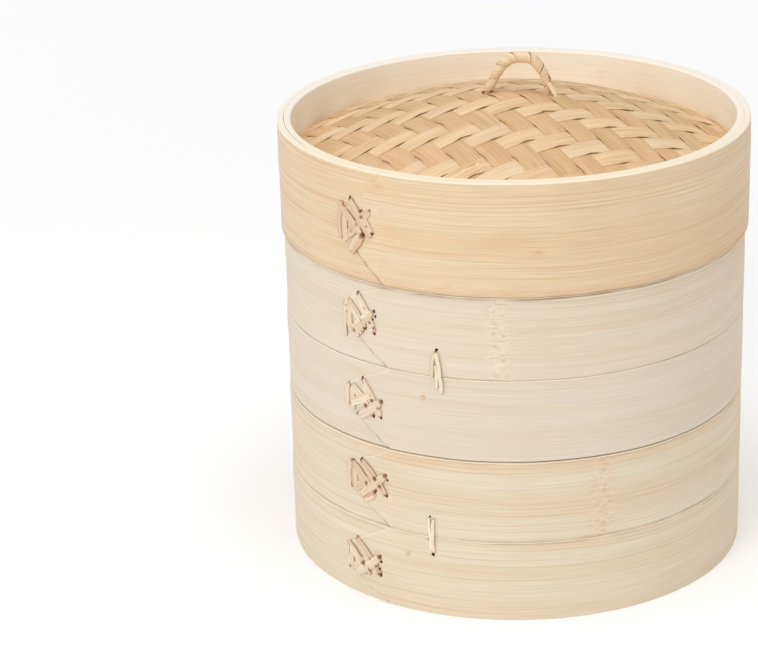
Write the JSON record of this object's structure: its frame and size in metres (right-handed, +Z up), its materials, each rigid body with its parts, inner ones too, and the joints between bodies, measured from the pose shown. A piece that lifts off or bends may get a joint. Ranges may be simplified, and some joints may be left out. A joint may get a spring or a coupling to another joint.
{
  "type": "bamboo steamer basket",
  "caption": "Stackable round bamboo steamer basket with slatted tiers, laced bent-wood bands and a domed woven lid with a rattan loop handle.",
  "frame": {"origin": "centre of the bottom rim of the lower tier, on the surface it stands on", "axes": "+Z up along the axis of the tiers, -Y the front with the band laps to its left, +X to the right"},
  "size_m": [0.2056, 0.206, 0.2224],
  "materials": {
    "lower_tier_bamboo": "satin, smooth split bamboo, yellower tan",
    "upper_tier_bamboo": "satin, smooth split bamboo, pale beige",
    "lid_bamboo": "satin, smooth split bamboo, warm orange tan",
    "inner_bamboo": "satin, planed bamboo",
    "slat_bamboo": "matte, split bamboo",
    "woven_bamboo": "matte, thin split strips in twill",
    "bamboo_leaf": "matte, dry bamboo leaf",
    "rattan": "matte, split rattan cane",
    "peg_bamboo": "matte, round bamboo pegs"
  },
  "bodies": {
    "lower_tier": {"lower_tier_base_band": "lower_tier_bamboo", "lower_tier_top_band": "lower_tier_bamboo", "lower_tier_base_lacing": "rattan", "lower_tier_top_lacing": "rattan", "lower_tier_ties": "rattan", "lower_tier_pegs": "peg_bamboo", "lower_tier_inner_hoop": "inner_bamboo", "lower_tier_support_ring": "inner_bamboo", "lower_tier_crossbar_left": "slat_bamboo", "lower_tier_crossbar_right": "slat_bamboo", "lower_tier_retaining_ring": "inner_bamboo", "lower_tier_slat_01": "slat_bamboo", "lower_tier_slat_02": "slat_bamboo", "lower_tier_slat_03": "slat_bamboo", "lower_tier_slat_04": "slat_bamboo", "lower_tier_slat_05": "slat_bamboo", "lower_tier_slat_06": "slat_bamboo", "lower_tier_slat_07": "slat_bamboo", "lower_tier_slat_08": "slat_bamboo", "lower_tier_slat_09": "slat_bamboo", "lower_tier_slat_10": "slat_bamboo", "lower_tier_slat_11": "slat_bamboo", "lower_tier_slat_12": "slat_bamboo", "lower_tier_slat_13": "slat_bamboo"},
    "upper_tier": {"upper_tier_base_band": "upper_tier_bamboo", "upper_tier_top_band": "upper_tier_bamboo", "upper_tier_base_lacing": "rattan", "upper_tier_top_lacing": "rattan", "upper_tier_ties": "rattan", "upper_tier_pegs": "peg_bamboo", "upper_tier_inner_hoop": "inner_bamboo", "upper_tier_support_ring": "inner_bamboo", "upper_tier_crossbar_left": "slat_bamboo", "upper_tier_crossbar_right": "slat_bamboo", "upper_tier_retaining_ring": "inner_bamboo", "upper_tier_slat_01": "slat_bamboo", "upper_tier_slat_02": "slat_bamboo", "upper_tier_slat_03": "slat_bamboo", "upper_tier_slat_04": "slat_bamboo", "upper_tier_slat_05": "slat_bamboo", "upper_tier_slat_06": "slat_bamboo", "upper_tier_slat_07": "slat_bamboo", "upper_tier_slat_08": "slat_bamboo", "upper_tier_slat_09": "slat_bamboo", "upper_tier_slat_10": "slat_bamboo", "upper_tier_slat_11": "slat_bamboo", "upper_tier_slat_12": "slat_bamboo", "upper_tier_slat_13": "slat_bamboo"},
    "lid": {"lid_hoop": "lid_bamboo", "lid_lacing": "rattan", "lid_rim_hoop": "inner_bamboo", "lid_bearing_hoop": "inner_bamboo", "lid_woven_cap": "woven_bamboo", "lid_leaf_layer": "bamboo_leaf", "lid_cap_lining": "woven_bamboo", "lid_rib_long": "slat_bamboo", "lid_rib_cross": "slat_bamboo", "lid_pegs": "peg_bamboo", "lid_handle_core": "rattan", "lid_handle_wrap": "rattan"}
  },
  "joints": [
    {"name": "upper_tier_lift", "type": "slide", "parent": "lower_tier", "child": "upper_tier", "axis": [0, 0, 1], "range_m": [0, 0.12]},
    {"name": "lid_lift", "type": "slide", "parent": "upper_tier", "child": "lid", "axis": [0, 0, 1], "range_m": [0, 0.12]}
  ]
}
